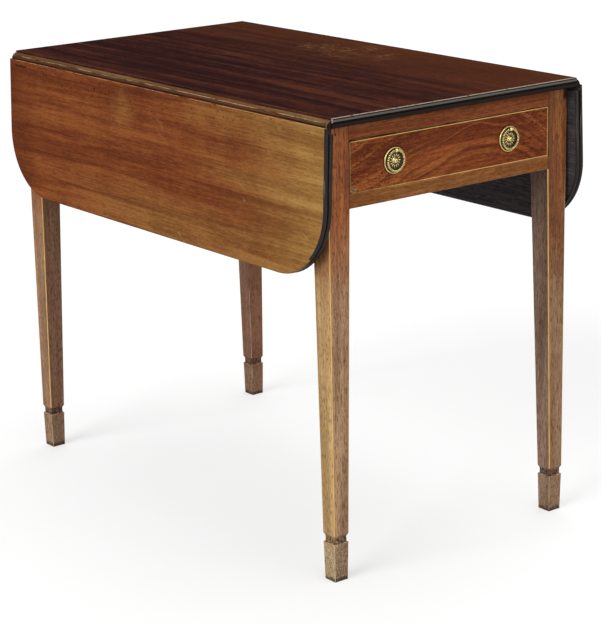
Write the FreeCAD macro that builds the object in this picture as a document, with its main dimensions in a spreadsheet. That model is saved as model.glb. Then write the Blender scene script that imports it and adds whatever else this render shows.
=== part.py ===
import FreeCAD, Part
import os
import re

# A drop-leaf occasional table with one end drawer. Millimetres, +Z up, origin on the floor
# under the middle of the top. The drawer faces -Y, the leaves hang on the +X and -X sides.
# Pieces of which there are two or four are drawn on the +X, +Y quarter and mirrored from there.

SIZES = {
    # Top and leaves: the rule joint turns about an axis below the arris of the fixed top.
    "table_height": 712,
    "top_length": 870,
    "end_overhang": 18,
    "joint_overhang": 4,
    "board_thickness": 15,
    "axis_depth": 13,
    "fillet_height": 3.2,
    "reed_radius": 3.5,
    "cove_gap": 0.4,
    "fillet_gap": 0.3,
    "leaf_width": 229,
    "leaf_corner": 110,
    "leaf_splay": 2.4,
    # Legs: square, tapered on the two inner faces, with a necked block foot.
    "frame_width": 474,
    "leg_size": 39,
    "ankle_size": 27.5,
    "shoulder_height": 4.5,
    "neck_height": 9.5,
    "neck_inset": 2.6,
    "foot_height": 61,
    "foot_top_size": 27,
    "foot_bottom_size": 24.5,
    "string_width": 2.2,
    "string_depth": 1.6,
    "front_string_width": 1.4,
    # Rails round the frame and their tenons.
    "upper_rail_height": 25.5,
    "opening_height": 79,
    "lower_rail_height": 20.5,
    "front_rail_depth": 36,
    "side_rail_thickness": 16,
    "tenon_length": 24,
    "tenon_thickness": 12,
    "tenon_setback": 4,
    "tenon_shoulder": 3,
    "side_tenon_thickness": 9,
    # Fly brackets that carry a raised leaf, on wooden knuckles.
    "fly_thickness": 15,
    "fly_height": 100,
    "fly_block_length": 70,
    "bracket_length": 150,
    "bracket_root_length": 46,
    "bracket_tip_height": 34,
    "bracket_tip_bevel": 4,
    "bracket_bevel_length": 34,
    "bracket_top_gap": 1,
    "bracket_end_gap": 3,
    "knuckle_gap": 0.4,
    "fly_pin_radius": 2.5,
    "pin_gap": 0.08,
    # Drawer slides and the battens that hold the top down.
    "runner_width": 22,
    "runner_height": 14,
    "stop_length": 40,
    "stop_width": 14,
    "stop_height": 5,
    "stop_gap": 0.2,
    "block_length": 60,
    "block_size": 18,
    "block_clearance": 25.5,
    # Drawer.
    "drawer_rear_space": 174,
    "drawer_front_thickness": 20,
    "drawer_side_thickness": 10,
    "drawer_back_thickness": 9,
    "drawer_bottom_thickness": 7,
    "drawer_bottom_rise": 9,
    "drawer_side_gap": 0.7,
    "drawer_top_gap": 1.4,
    "drawer_front_gap": 0.6,
    "drawer_runner_gap": 0.2,
    "drawer_side_drop": 3,
    "drawer_back_inset": 10,
    "groove_depth": 4,
    "tail_length": 13,
    "tail_flare": 2,
    # Ring handles.
    "handle_spread": 228,
    "plate_radius": 20,
    "plate_thickness": 1.2,
    "rim_radius": 1.2,
    "rosette_radius": 12,
    "rosette_height": 2.2,
    "petal_radius": 1.9,
    "boss_radius": 4,
    "ring_radius": 15.6,
    "ring_wire": 1.7,
    "ring_stand": 5,
    "eye_gap": 0.4,
    "post_radius": 2.3,
    "post_head_radius": 3.4,
    "bolt_end": 2,
    "nut_size": 9,
    "nut_thickness": 3.5,
    # Iron back-flap hinges under the rule joints, and the screws.
    "hinge_end": 145,
    "hinge_width": 38,
    "hinge_plate": 2,
    "hinge_top_reach": 30,
    "hinge_leaf_reach": 55,
    "hinge_knuckle": 2.6,
    "hinge_pin_radius": 1.2,
    "hinge_gap": 0.3,
    "screw_radius": 1.7,
    "screw_head_radius": 3.2,
    "screw_head_height": 1.8,
    "screw_bite": 9,
    "screw_spacing": 480,
    "overrun": 5,
}

# Counts and shares.
HINGES = (-1, 0, 1)
HINGE_KNUCKLES = 5
FLY_KNUCKLES = 5
TAILS = 3
PETALS = 12
TAIL_SHARE = 0.5
PLATE_SCREW_SHARES = (-0.3, 0.3)
TOP_SCREW_SHARE = 0.6
ROSETTE_TOP_SHARE = 0.8
PETAL_CIRCLE_SHARE = 0.74
GLUE_BLOCKS = (-1, 0, 1)

PLACES = {
    "underside": "table_height - board_thickness",
    "axis_z": "table_height - axis_depth",
    "half_length": "top_length / 2",
    "ovolo_radius": "axis_depth - fillet_height",
    "cove_radius": "ovolo_radius + cove_gap",
    "leaf_under": "axis_depth - board_thickness",
    "outer_x": "frame_width / 2",
    "outer_y": "half_length - end_overhang",
    "axis_x": "outer_x + joint_overhang",
    "inner_x": "outer_x - leg_size",
    "inner_y": "outer_y - leg_size",
    "opening_top": "underside - upper_rail_height",
    "opening_bottom": "opening_top - opening_height",
    "rail_bottom": "opening_bottom - lower_rail_height",
    "neck_top": "foot_height + neck_height",
    "ankle_z": "neck_top + shoulder_height",
    "fly_x": "inner_x + side_rail_thickness",
    "fly_axis_x": "fly_x + fly_thickness / 2",
    "fly_axis_y": "inner_y - fly_block_length",
    "fly_barrel": "fly_thickness / 2",
    "fly_bottom": "underside - fly_height",
    "fly_top": "underside - bracket_top_gap",
    "fly_shoulder": "fly_barrel + knuckle_gap",
    "bracket_height": "fly_top - fly_bottom",
    "ogee_radius": "(bracket_height - bracket_tip_height) / 2",
    "bracket_tip_y": "fly_axis_y - bracket_length",
    "ogee_start_y": "fly_axis_y - bracket_root_length",
    "drawer_half": "inner_x - drawer_side_gap",
    "drawer_face_y": "-outer_y",
    "drawer_front_back": "drawer_face_y + drawer_front_thickness",
    "drawer_end_y": "outer_y - drawer_rear_space",
    "drawer_low": "opening_bottom + drawer_front_gap",
    "drawer_high": "opening_top - drawer_top_gap",
    "drawer_side_low": "opening_bottom + drawer_runner_gap",
    "drawer_side_high": "drawer_high - drawer_side_drop",
    "drawer_inner": "drawer_half - drawer_side_thickness",
    "floor_low": "drawer_side_low + drawer_bottom_rise",
    "handle_x": "handle_spread / 2",
    "handle_z": "(drawer_low + drawer_high) / 2",
    "ring_top_z": "handle_z + ring_radius",
    "hinge_spacing": "half_length - hinge_end",
    "hinge_inner_x": "axis_x - hinge_top_reach",
}

doc = FreeCAD.newDocument("PembrokeTable")


def fill_sheet(name, cells, start):
    sheet = doc.addObject("Spreadsheet::Sheet", name)
    for row, (alias, content) in enumerate(cells.items(), start=1):
        sheet.set(f"A{row}", alias)
        sheet.set(f"B{row}", start + content)
        sheet.setAlias(f"B{row}", alias)
    doc.recompute()


def bound(formula):
    """The formula with each size's name led by the name of its sheet."""
    def led(match):
        word = match.group(0)
        if word in SIZES:
            return "Sizes." + word
        return "Places." + word if word in PLACES else word
    return re.sub(r"[a-z][a-z_]+", led, str(formula))


fill_sheet("Sizes", {alias: str(number) for alias, number in SIZES.items()}, "")
fill_sheet("Places", {alias: bound(formula) for alias, formula in PLACES.items()}, "=")

nodes = []


def make(kind, name, formulas, base=(0, 0, 0), turn=None):
    """An object of the document whose properties and place follow formulas of the sizes."""
    item = doc.addObject(kind, name)
    if turn:
        item.Placement = FreeCAD.Placement(FreeCAD.Vector(), turn)
    for key, formula in formulas.items():
        item.setExpression(key, bound(formula))
    for axis, formula in zip("xyz", base):
        item.setExpression("Placement.Base." + axis, bound(formula))
    return item


def turned(axis, degrees):
    return FreeCAD.Rotation(FreeCAD.Vector(*axis), degrees)


ALONG_X = turned((1, 1, 1), 120)
ALONG_Y = turned((1, 0, 0), -90)
UPWARDS = turned((1, 0, 0), 90)


def box(name, x_span, y_span, z_span):
    """A box between the two formulas given for each axis."""
    spans = (x_span, y_span, z_span)
    lengths = {key: f"({span[1]}) - ({span[0]})" for key, span in zip(("Length", "Width", "Height"), spans)}
    return make("Part::Box", name, lengths, [span[0] for span in spans])


def cylinder(name, radius, height, base, turn=None):
    return make("Part::Cylinder", name, {"Radius": radius, "Height": height}, base, turn)


def cone(name, low_radius, high_radius, height, base, turn=None):
    sides = {"Radius1": low_radius, "Radius2": high_radius, "Height": height}
    return make("Part::Cone", name, sides, base, turn)


def taper(name, z_span, low, high):
    """A square-cut post whose x and y spans change from its low end to its high end."""
    (low_x, low_y), (high_x, high_y) = low, high
    corners = {
        "Ymin": z_span[0], "Ymax": z_span[1],
        "Xmin": low_x[0], "Xmax": low_x[1], "X2min": high_x[0], "X2max": high_x[1],
        "Zmin": f"-({low_y[1]})", "Zmax": f"-({low_y[0]})",
        "Z2min": f"-({high_y[1]})", "Z2max": f"-({high_y[0]})",
    }
    return make("Part::Wedge", name, corners, turn=UPWARDS)


def fuse(name, shapes):
    item = doc.addObject("Part::MultiFuse", name)
    item.Shapes = shapes
    item.Refine = False
    return item


def group(name, shapes):
    item = doc.addObject("Part::Compound", name)
    item.Links = shapes
    return item


def cut(name, base, tools):
    """The base less each tool in turn."""
    for number, tool in enumerate(tools, start=1):
        less = doc.addObject("Part::Cut", f"{name}_cut_{number}")
        less.Base = base
        less.Tool = tool
        base = less
    return base


def mirrored(name, source, normal):
    item = doc.addObject("Part::Mirroring", name)
    item.Source = source
    item.Normal = FreeCAD.Vector(*normal)
    return item


ACROSS_X = (1, 0, 0)
ACROSS_Y = (0, 1, 0)


def node(item, label):
    item.Label = label
    nodes.append(item)
    return item


def pair(item, label):
    """The piece on the right and its mirror image on the left."""
    return node(item, label + "_right"), node(mirrored(label + "_mirror", item, ACROSS_X), label + "_left")


def four(item, label):
    """The piece at the back right and its mirror images at the other three corners."""
    front = mirrored(label + "_front_mirror", item, ACROSS_Y)
    pair(item, label + "_back")
    pair(front, label + "_front")


def screw(name, x, y, z, drop):
    """A countersunk screw driven upwards, its head flush at z, its shank drop long from there."""
    head = cone(name + "_head", "screw_head_radius", "screw_radius", "screw_head_height", (x, y, z))
    return fuse(name, [head, cylinder(name + "_shank", "screw_radius", drop, (x, y, z))])


# Fixed top: a solid board with a quarter-round along each side for the rule joint and a double
# reed across each end.
board_end = "half_length - reed_radius"
board_span = (f"-({board_end})", board_end)
top_shapes = [box("top_plank", ("-axis_x", "axis_x"), board_span, ("underside", "table_height"))]
below_top = box(
    "below_top", ("-leaf_width - axis_x", "leaf_width + axis_x"), ("-top_length", "top_length"),
    ("underside - board_thickness", "underside"))
for side in (-1, 1):
    roll = cylinder(
        f"ovolo_roll_{side + 1}", "ovolo_radius", f"2 * ({board_end})",
        (f"{side} * axis_x", f"-({board_end})", "axis_z"), ALONG_Y)
    top_shapes.append(cut(f"ovolo_{side + 1}", roll, [below_top]))
    for level in ("table_height - reed_radius", "underside + reed_radius"):
        top_shapes.append(cylinder(
            f"top_reed_{len(top_shapes)}", "reed_radius", "2 * axis_x",
            ("-axis_x", f"{side} * ({board_end})", level), ALONG_X))
top_blank = fuse("top_blank", top_shapes)

# Leaf, drawn raised with the hinge axis as its own Y axis: a board hollowed to ride over the
# quarter-round, its two outer corners round, a double reed along its free edges.
leaf_edge = "leaf_width - reed_radius"
corner_x = "leaf_width - leaf_corner"
corner_y = "half_length - leaf_corner"
corner_core = "leaf_corner - reed_radius"
leaf_shapes = [
    box("leaf_plank", ("fillet_gap", corner_x), board_span, ("leaf_under", "axis_depth")),
    box("leaf_outer", (corner_x, leaf_edge), (f"-({corner_y})", corner_y), ("leaf_under", "axis_depth"))]
for side in (-1, 1):
    leaf_shapes.append(cylinder(
        f"leaf_corner_{side + 1}", corner_core, "board_thickness",
        (corner_x, f"{side} * ({corner_y})", "leaf_under")))
leaf_shapes = [fuse("leaf_core", leaf_shapes)]
for level in ("axis_depth - reed_radius", "leaf_under + reed_radius"):
    leaf_shapes.append(cylinder(
        f"leaf_end_reed_{len(leaf_shapes)}", "reed_radius", f"2 * ({corner_y})",
        (leaf_edge, f"-({corner_y})", level), ALONG_Y))
    for side in (-1, 1):
        leaf_shapes.append(cylinder(
            f"leaf_side_reed_{len(leaf_shapes)}", "reed_radius", f"{corner_x} - fillet_gap",
            ("fillet_gap", f"{side} * ({board_end})", level), ALONG_X))
        disc = make("Part::Circle", f"leaf_bend_disc_{len(leaf_shapes)}", {"Radius": "reed_radius"},
                    (corner_x, f"{side} * ({board_end})", level), ALONG_X)
        bend = doc.addObject("Part::Revolution", f"leaf_bend_{len(leaf_shapes)}")
        bend.Source = disc
        bend.Axis = FreeCAD.Vector(0, 0, 1)
        bend.Angle = -90 * side
        bend.Solid = True
        for axis, formula in zip("xyz", (corner_x, f"{side} * ({corner_y})", level)):
            bend.setExpression("Base." + axis, bound(formula))
        leaf_shapes.append(bend)
cove = cylinder("cove", "cove_radius", "2 * top_length", (0, "-top_length", 0), ALONG_Y)
leaf_blank = cut("leaf_blank", fuse("leaf_body", leaf_shapes), [cove])

# Back-flap hinges: two plates let in flush below the boards, turning on a pin in five knuckles.
# The longer plate reaches past the quarter-round to the leaf.
segment = f"hinge_width / {HINGE_KNUCKLES}"
barrel_length = f"{segment} - hinge_gap"
knuckle_clear = "hinge_knuckle + hinge_gap"
bore_radius = "hinge_pin_radius + pin_gap"
top_screw_x = f"axis_x - hinge_top_reach * {TOP_SCREW_SHARE}"
leaf_screw_x = "(cove_radius + hinge_leaf_reach) / 2"
top_plates = []
leaf_plates = []
hinge_pins = []
top_screws = []
leaf_screws = []
slots = []
for place in HINGES:
    middle = f"{place} * hinge_spacing"
    low_y = f"{middle} - hinge_width / 2"
    high_y = f"{middle} + hinge_width / 2"
    name = f"hinge_{place + 1}"
    top_flap = [box(name + "_top_flap", ("hinge_inner_x", f"axis_x - ({knuckle_clear})"), (low_y, high_y),
                    ("underside", "underside + hinge_plate"))]
    leaf_flap = [box(name + "_leaf_flap", (knuckle_clear, "hinge_leaf_reach"), (low_y, high_y),
                     ("leaf_under", "leaf_under + hinge_plate"))]
    for number in range(HINGE_KNUCKLES):
        start = f"{low_y} + {number} * {segment} + hinge_gap / 2"
        stop = f"{low_y} + {number + 1} * {segment} - hinge_gap / 2"
        barrel_name = f"{name}_barrel_{number}"
        if number % 2 == 0:
            top_flap += [
                cylinder(barrel_name, "hinge_knuckle", barrel_length, ("axis_x", start, "axis_z"), ALONG_Y),
                box(barrel_name + "_tab", (f"axis_x - ({knuckle_clear})", "axis_x"), (start, stop),
                    ("underside", "underside + hinge_plate"))]
        else:
            leaf_flap += [
                cylinder(barrel_name, "hinge_knuckle", barrel_length, (0, start, 0), ALONG_Y),
                box(barrel_name + "_tab", (0, knuckle_clear), (start, stop),
                    ("leaf_under", "leaf_under + hinge_plate"))]
    pin_start = ("axis_x", low_y, "axis_z")
    top_bore = cylinder(name + "_top_bore", bore_radius, "hinge_width", pin_start, ALONG_Y)
    leaf_bore = cylinder(name + "_leaf_bore", bore_radius, "hinge_width", (0, low_y, 0), ALONG_Y)
    top_holes = []
    leaf_holes = []
    for number, share in enumerate(PLATE_SCREW_SHARES):
        along = f"{middle} + {share} * hinge_width"
        top_holes.append(screw(f"{name}_top_{number}", top_screw_x, along, "underside", "screw_bite"))
        leaf_holes.append(screw(f"{name}_leaf_{number}", leaf_screw_x, along, "leaf_under", "screw_bite"))
    top_screws += top_holes
    leaf_screws += leaf_holes
    top_plates.append(cut(name + "_top", fuse(name + "_top_body", top_flap), [top_bore] + top_holes))
    leaf_plates.append(cut(name + "_leaf", fuse(name + "_leaf_body", leaf_flap), [leaf_bore] + leaf_holes))
    hinge_pins.append(cylinder(name + "_pin", "hinge_pin_radius", "hinge_width", pin_start, ALONG_Y))
    slot_span = (f"{low_y} - hinge_gap", f"{high_y} + hinge_gap")
    slots.append(fuse(name + "_slot", [
        cylinder(name + "_slot_roll", knuckle_clear, "hinge_width + 2 * hinge_gap",
                 ("axis_x", slot_span[0], "axis_z"), ALONG_Y),
        box(name + "_slot_mouth", (f"axis_x - ({knuckle_clear})", "axis_x + ovolo_radius + overrun"),
            slot_span, ("underside - overrun", "axis_z + hinge_gap"))]))

leaf_hang = "90 - leaf_splay"


def hung(item):
    """The raised piece swung down on the hinge axis to where the leaf hangs."""
    item.Placement = FreeCAD.Placement(FreeCAD.Vector(), turned((0, 1, 0), 90))
    item.setExpression("Placement.Rotation.Angle", bound(leaf_hang))
    for axis, formula in zip("xyz", ("axis_x", 0, "axis_z")):
        item.setExpression("Placement.Base." + axis, bound(formula))
    return item


leaf_plate_group = group("leaf_plate_group", leaf_plates)
leaf_screw_group = group("leaf_screw_group", leaf_screws)
leaf_raised = cut("leaf", leaf_blank, [leaf_plate_group, leaf_screw_group])
pair(hung(group("leaf_swung", [leaf_raised])), "leaf")
pair(hung(group("leaf_plates_swung", [leaf_plate_group])), "hinge_leaf_plates")
pair(hung(group("leaf_screws_swung", [leaf_screw_group])), "hinge_leaf_screws")

top_plate_group, top_plate_left = pair(group("top_plate_group", top_plates), "hinge_top_plates")
pair(group("hinge_pin_group", hinge_pins), "hinge_pins")
top_screw_right = group("top_screw_right", top_screws)
top_screw_left = mirrored("top_screw_left", top_screw_right, ACROSS_X)
slot_right = group("slot_right", slots)
slot_left = mirrored("slot_left", slot_right, ACROSS_X)
hinge_top_screws = group("hinge_top_screw_group", [top_screw_right, top_screw_left])
node(hinge_top_screws, "hinge_top_screws")

# Battens beside the drawer, screwed up into the top: they keep the drawer from tipping.
kicker_inner = "inner_x - runner_width"
kicker_front = "-outer_y + front_rail_depth"
kicker_back = "outer_y - drawer_front_thickness"
kicker_span = (kicker_inner, "inner_x"), (kicker_front, kicker_back)
kicker_blank = box("kicker_blank", *kicker_span, ("opening_top", "underside"))
fixing_right = group("fixing_right", [
    screw(f"fixing_screw_{number}", "inner_x - runner_width / 2", f"{number - 1} * screw_spacing / 2",
          "opening_top", "upper_rail_height + screw_bite")
    for number in range(3)])
fixing_left = mirrored("fixing_left", fixing_right, ACROSS_X)
node(group("fixing_group", [fixing_right, fixing_left]), "top_fixing_screws")
pair(cut("kicker", kicker_blank, [fixing_right]), "drawer_kicker")

node(cut("top", top_blank, [slot_right, slot_left, top_plate_group, top_plate_left,
                            hinge_top_screws, fixing_right, fixing_left]), "top_board")

# Legs, with the stringing let into the three arrises of their two outer faces.
outer_span = ("outer_x - leg_size", "outer_x"), ("outer_y - leg_size", "outer_y")
ankle_span = ("outer_x - ankle_size", "outer_x"), ("outer_y - ankle_size", "outer_y")


def ankle_square(size):
    """A square of the given size, centred on the end of the leg's taper."""
    inset = f"(ankle_size - ({size})) / 2"
    return tuple((f"{face} - ankle_size + {inset}", f"{face} - {inset}") for face in ("outer_x", "outer_y"))


neck_span = ankle_square("ankle_size - 2 * neck_inset")
leg_blank = fuse("leg_blank", [
    box("leg_block", *outer_span, ("rail_bottom", "underside")),
    taper("leg_shaft", ("ankle_z", "rail_bottom"), ankle_span, outer_span),
    taper("leg_shoulder", ("neck_top", "ankle_z"), neck_span, ankle_span),
    box("leg_neck", *neck_span, ("foot_height", "neck_top")),
    taper("leg_foot", (0, "foot_height"), ankle_square("foot_bottom_size"), ankle_square("foot_top_size"))])
string_x = ("outer_x - string_depth", "outer_x")
string_y = ("outer_y - string_depth", "outer_y")


def string_line(face, size):
    """The span of a string that follows the inner arris of the leg, on one outer face."""
    return f"{face} - {size}", f"{face} - {size} + string_width"


leg_strings = group("leg_string_group", [
    box("string_outer", string_x, string_y, ("ankle_z", "rail_bottom")),
    taper("string_on_end", ("ankle_z", "rail_bottom"),
          (string_line("outer_x", "ankle_size"), string_y), (string_line("outer_x", "leg_size"), string_y)),
    taper("string_on_side", ("ankle_z", "rail_bottom"),
          (string_x, string_line("outer_y", "ankle_size")), (string_x, string_line("outer_y", "leg_size")))])

tenon_reach = ("-inner_x - tenon_length", "inner_x + tenon_length")
tenon_depth = ("outer_y - tenon_setback - tenon_thickness", "outer_y - tenon_setback")
tenon_low = ("rail_bottom + tenon_shoulder", "opening_bottom - tenon_shoulder")
tenon_high = ("opening_top + tenon_shoulder", "underside - tenon_shoulder")
back_tenon_low = box("back_tenon_low", tenon_reach, tenon_depth, tenon_low)
back_tenon_high = box("back_tenon_high", tenon_reach, tenon_depth, tenon_high)
front_tenon_low = mirrored("front_tenon_low", back_tenon_low, ACROSS_Y)
front_tenon_high = mirrored("front_tenon_high", back_tenon_high, ACROSS_Y)
side_tenon_inset = "(side_rail_thickness - side_tenon_thickness) / 2"
side_tenon = box(
    "side_tenon", (f"inner_x + {side_tenon_inset}", f"inner_x + {side_tenon_inset} + side_tenon_thickness"),
    ("-inner_y - tenon_length", "inner_y + tenon_length"),
    ("opening_bottom + tenon_shoulder", "opening_top - tenon_shoulder"))
four(cut("leg", leg_blank, [back_tenon_low, back_tenon_high, side_tenon, leg_strings]), "leg")
four(leg_strings, "leg_stringing")

# Rails: two narrow ones round the drawer, one deep one at the back, one behind each leaf.
rail_span = ("-inner_x", "inner_x")
front_depth = ("-outer_y", "-outer_y + front_rail_depth")
upper_rail = box("upper_rail", rail_span, front_depth, ("opening_top", "underside"))
lower_rail = box("lower_rail", rail_span, front_depth, ("rail_bottom", "opening_bottom"))
node(fuse("upper_rail_body", [upper_rail, front_tenon_high]), "front_upper_rail")
node(fuse("lower_rail_body", [lower_rail, front_tenon_low]), "front_lower_rail")
side_rail = box("side_rail", ("inner_x", "fly_x"), ("-inner_y", "inner_y"), ("rail_bottom", "underside"))
pair(fuse("side_rail_body", [side_rail, side_tenon]), "side_rail")

# Fly rail on each side: fixed end blocks and a fixed middle, with a bracket between that swings out
# on a wooden knuckle to carry the raised leaf. The bracket's lower edge is an ogee.
fly_span = ("fly_x", "fly_x + fly_thickness")
fly_inner_half = ("fly_x", "fly_axis_x")
fly_levels = ("fly_bottom", "fly_top")
fixed_levels = ("fly_bottom", "underside")
tip_bottom = "fly_top - bracket_tip_height"
fixed_shapes = [box("fly_block_plank", fly_span, ("fly_axis_y + fly_shoulder", "inner_y"), fixed_levels)]
moving_shapes = [
    box("bracket_root", fly_span, ("ogee_start_y", "fly_axis_y - fly_shoulder"), fly_levels),
    box("bracket_tip", fly_span, ("bracket_tip_y", "ogee_start_y"), (tip_bottom, "fly_top"))]
ogee_middle_z = "fly_bottom + ogee_radius"
ogee_web = box("ogee_web", fly_span, ("ogee_start_y - 2 * ogee_radius", "ogee_start_y"),
               (ogee_middle_z, tip_bottom))
hollow = cylinder("ogee_hollow", "ogee_radius", "fly_thickness",
                  ("fly_x", "ogee_start_y - 2 * ogee_radius", ogee_middle_z), ALONG_X)
ogee_round = cylinder("ogee_round", "ogee_radius", "fly_thickness",
                      ("fly_x", "ogee_start_y", ogee_middle_z), ALONG_X)
moving_shapes += [ogee_round, cut("ogee", ogee_web, [hollow])]
fly_segment = f"bracket_height / {FLY_KNUCKLES}"
for number in range(FLY_KNUCKLES):
    start = f"fly_bottom + {number} * {fly_segment} + knuckle_gap / 2"
    stop = f"fly_bottom + {number + 1} * {fly_segment} - knuckle_gap / 2"
    fixed = number % 2 == 0
    web_y = ("fly_axis_y - fly_shoulder", "fly_axis_y")
    if fixed:
        web_y = ("fly_axis_y", "fly_axis_y + fly_shoulder")
    barrel = [
        cylinder(f"fly_barrel_{number}", "fly_barrel", f"{fly_segment} - knuckle_gap",
                 ("fly_axis_x", "fly_axis_y", start)),
        box(f"fly_web_{number}", fly_inner_half, web_y, (start, stop))]
    if fixed:
        fixed_shapes += barrel
    else:
        moving_shapes += barrel
fly_foot = ("fly_axis_x", "fly_axis_y", "fly_bottom")
fly_pin = cylinder("fly_pin", "fly_pin_radius", "bracket_height", fly_foot)
fly_bore = cylinder("fly_bore", "fly_pin_radius + pin_gap", "bracket_height", fly_foot)
fly_outer = "fly_x + fly_thickness"
bevel = make("Part::Wedge", "bracket_bevel", {
    "Ymin": "bracket_tip_y", "Ymax": "bracket_tip_y + bracket_bevel_length",
    "Xmin": f"{fly_outer} - bracket_tip_bevel", "X2min": fly_outer,
    "Xmax": f"{fly_outer} + overrun", "X2max": f"{fly_outer} + overrun",
    "Zmin": "fly_bottom", "Zmax": "fly_top", "Z2min": "fly_bottom", "Z2max": "fly_top"})
four(cut("fly_block", fuse("fly_block_body", fixed_shapes), [fly_bore]), "fly_block")
four(cut("fly_bracket", fuse("fly_bracket_body", moving_shapes), [fly_bore, bevel]), "fly_bracket")
pin_right = group("fly_pins_right", [fly_pin, mirrored("fly_pin_front", fly_pin, ACROSS_Y)])
node(group("fly_pin_group", [pin_right, mirrored("fly_pins_left", pin_right, ACROSS_X)]), "fly_pins")
centre_end = "bracket_tip_y - bracket_end_gap"
pair(box("fly_centre_plank", fly_span, (f"-({centre_end})", centre_end), fixed_levels), "fly_centre")

# Runners under the drawer sides, stops behind the drawer front, glue blocks at the back.
pair(box("runner", *kicker_span, ("opening_bottom - runner_height", "opening_bottom")), "drawer_runner")
stop_y = "drawer_front_back + stop_gap"
stop_right = box("stop", ("handle_x - stop_length / 2", "handle_x + stop_length / 2"),
                 (stop_y, f"{stop_y} + stop_width"), ("opening_bottom", "opening_bottom + stop_height"))
node(group("stop_group", [stop_right, mirrored("stop_left", stop_right, ACROSS_X)]), "drawer_stops")
glue_blocks = []
for place in GLUE_BLOCKS:
    middle = f"{place} * ({kicker_inner} - block_clearance - block_length / 2)"
    glue_blocks.append(box(
        f"glue_block_{len(glue_blocks)}", (f"{middle} - block_length / 2", f"{middle} + block_length / 2"),
        (f"{kicker_back} - block_size", kicker_back), ("underside - block_size", "underside")))
node(group("glue_block_group", glue_blocks), "glue_blocks")

# Ring handle, drawn on the back rail: a stamped round plate with a rosette, a post with an eye,
# a ring that hangs in the eye, and a nut inside.
face = "outer_y"
inside = f"{face} - drawer_front_thickness"
ring_plane = f"{face} + ring_stand"
rosette_face = f"{face} + rosette_height"
plate_shapes = [
    cylinder("plate_disc", "plate_radius", "plate_thickness", ("handle_x", face, "handle_z"), ALONG_Y),
    make("Part::Torus", "plate_rim", {"Radius1": "plate_radius - rim_radius", "Radius2": "rim_radius"},
         ("handle_x", f"{face} + plate_thickness", "handle_z"), ALONG_Y),
    cone("rosette", "rosette_radius", f"rosette_radius * {ROSETTE_TOP_SHARE}", "rosette_height",
         ("handle_x", face, "handle_z"), ALONG_Y),
    make("Part::Sphere", "rosette_boss", {"Radius": "boss_radius"}, ("handle_x", rosette_face, "handle_z"))]
petal_reach = f"rosette_radius * {PETAL_CIRCLE_SHARE}"
for number in range(PETALS):
    turn = 360 / PETALS * number
    petal_x = f"handle_x + {petal_reach} * cos({turn})"
    petal_z = f"handle_z + {petal_reach} * sin({turn})"
    plate_shapes.append(make(
        "Part::Sphere", f"petal_{number}", {"Radius": "petal_radius"}, (petal_x, rosette_face, petal_z)))
behind_face = box("behind_face", (0, "outer_x"), (inside, face), ("rail_bottom", "underside"))
post_hole = cylinder("post_hole", "post_radius", "ring_stand + drawer_front_thickness",
                     ("handle_x", inside, "ring_top_z"), ALONG_Y)
plate = cut("plate", fuse("plate_body", plate_shapes), [behind_face, post_hole])
nut_back = f"{inside} - nut_thickness"
bolt_back = f"{nut_back} - bolt_end"
bolt = cylinder("bolt", "post_radius", f"{ring_plane} - ({bolt_back})",
                ("handle_x", bolt_back, "ring_top_z"), ALONG_Y)
post_head = make("Part::Sphere", "post_head", {"Radius": "post_head_radius"},
                 ("handle_x", ring_plane, "ring_top_z"))
eye = cylinder("eye", "ring_wire + eye_gap", "2 * (post_head_radius + overrun)",
               ("handle_x - post_head_radius - overrun", ring_plane, "ring_top_z"), ALONG_X)
post = cut("post", fuse("post_body", [bolt, post_head]), [eye])
ring = make("Part::Torus", "ring", {"Radius1": "ring_radius", "Radius2": "ring_wire"},
            ("handle_x", ring_plane, "handle_z"), ALONG_Y)
nut_half = "nut_size / 2"
nut_blank = box("nut_blank", (f"handle_x - {nut_half}", f"handle_x + {nut_half}"), (nut_back, inside),
                (f"ring_top_z - {nut_half}", f"ring_top_z + {nut_half}"))
nut = cut("nut", nut_blank, [bolt])


def both_sides(name, item):
    return group(name, [item, mirrored(name + "_mirror", item, ACROSS_X)])


back_plates = node(both_sides("back_plates", plate), "back_handle_plates")
back_posts = node(both_sides("back_posts", post), "back_handle_posts")
back_nuts = node(both_sides("back_nuts", nut), "back_handle_nuts")
node(mirrored("drawer_plates", back_plates, ACROSS_Y), "drawer_handle_plates")
drawer_posts = node(mirrored("drawer_posts", back_posts, ACROSS_Y), "drawer_handle_posts")
node(mirrored("drawer_nuts", back_nuts, ACROSS_Y), "drawer_handle_nuts")
four(ring, "handle_ring")

# The back rail carries a sham drawer front: the same stringing and handles as the drawer.
sham_outer = box("sham_outer", ("-drawer_half", "drawer_half"), string_y, ("drawer_low", "drawer_high"))
sham_inner = box(
    "sham_inner", ("-drawer_half + front_string_width", "drawer_half - front_string_width"), string_y,
    ("drawer_low + front_string_width", "drawer_high - front_string_width"))
sham_string = node(cut("sham_string", sham_outer, [sham_inner]), "back_rail_stringing")
back_board = box("back_board", rail_span, (kicker_back, "outer_y"), ("rail_bottom", "underside"))
node(cut("back_rail", fuse("back_rail_body", [back_board, back_tenon_low, back_tenon_high]),
         [sham_string, back_posts]), "back_rail")

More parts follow.
